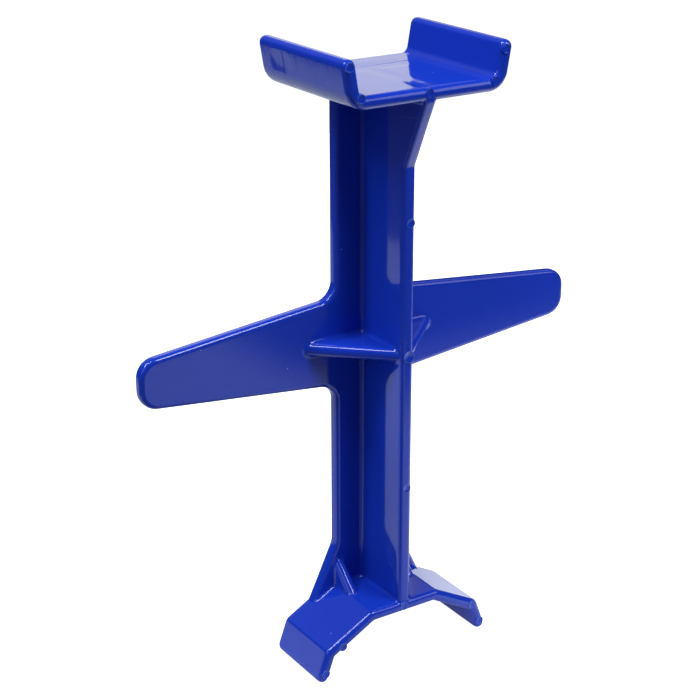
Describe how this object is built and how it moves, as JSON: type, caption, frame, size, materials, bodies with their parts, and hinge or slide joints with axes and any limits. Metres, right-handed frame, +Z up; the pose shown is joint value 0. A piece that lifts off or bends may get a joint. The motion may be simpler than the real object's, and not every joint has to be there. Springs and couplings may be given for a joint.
{
  "type": "motorcycle fork brace",
  "caption": "Blue moulded fork brace for a dirt bike: T-section column with two side wings, a lipped cradle on top and a bent saddle that stands on the front tyre.",
  "frame": {"origin": "centre of the bounding box in plan, on the ground under the two tips of the tyre saddle", "axes": "+Z up from the tyre saddle to the cradle, +X along the right-hand wing, -Y to the ribbed front, +Y to the flat back that lies on the fork legs"},
  "size_m": [0.2788, 0.083, 0.3511],
  "materials": {
    "blue_plastic": "glossy royal-blue injection moulding, lightly scuffed, with sink marks on the flat faces"
  },
  "bodies": {
    "root": {"column_plate": "blue_plastic", "left_wing": "blue_plastic", "right_wing": "blue_plastic", "front_rib": "blue_plastic", "left_wing_gusset": "blue_plastic", "right_wing_gusset": "blue_plastic", "cradle_floor": "blue_plastic", "left_cradle_lip": "blue_plastic", "right_cradle_lip": "blue_plastic", "tyre_saddle": "blue_plastic", "left_foot_web": "blue_plastic", "right_foot_web": "blue_plastic"}
  },
  "joints": []
}
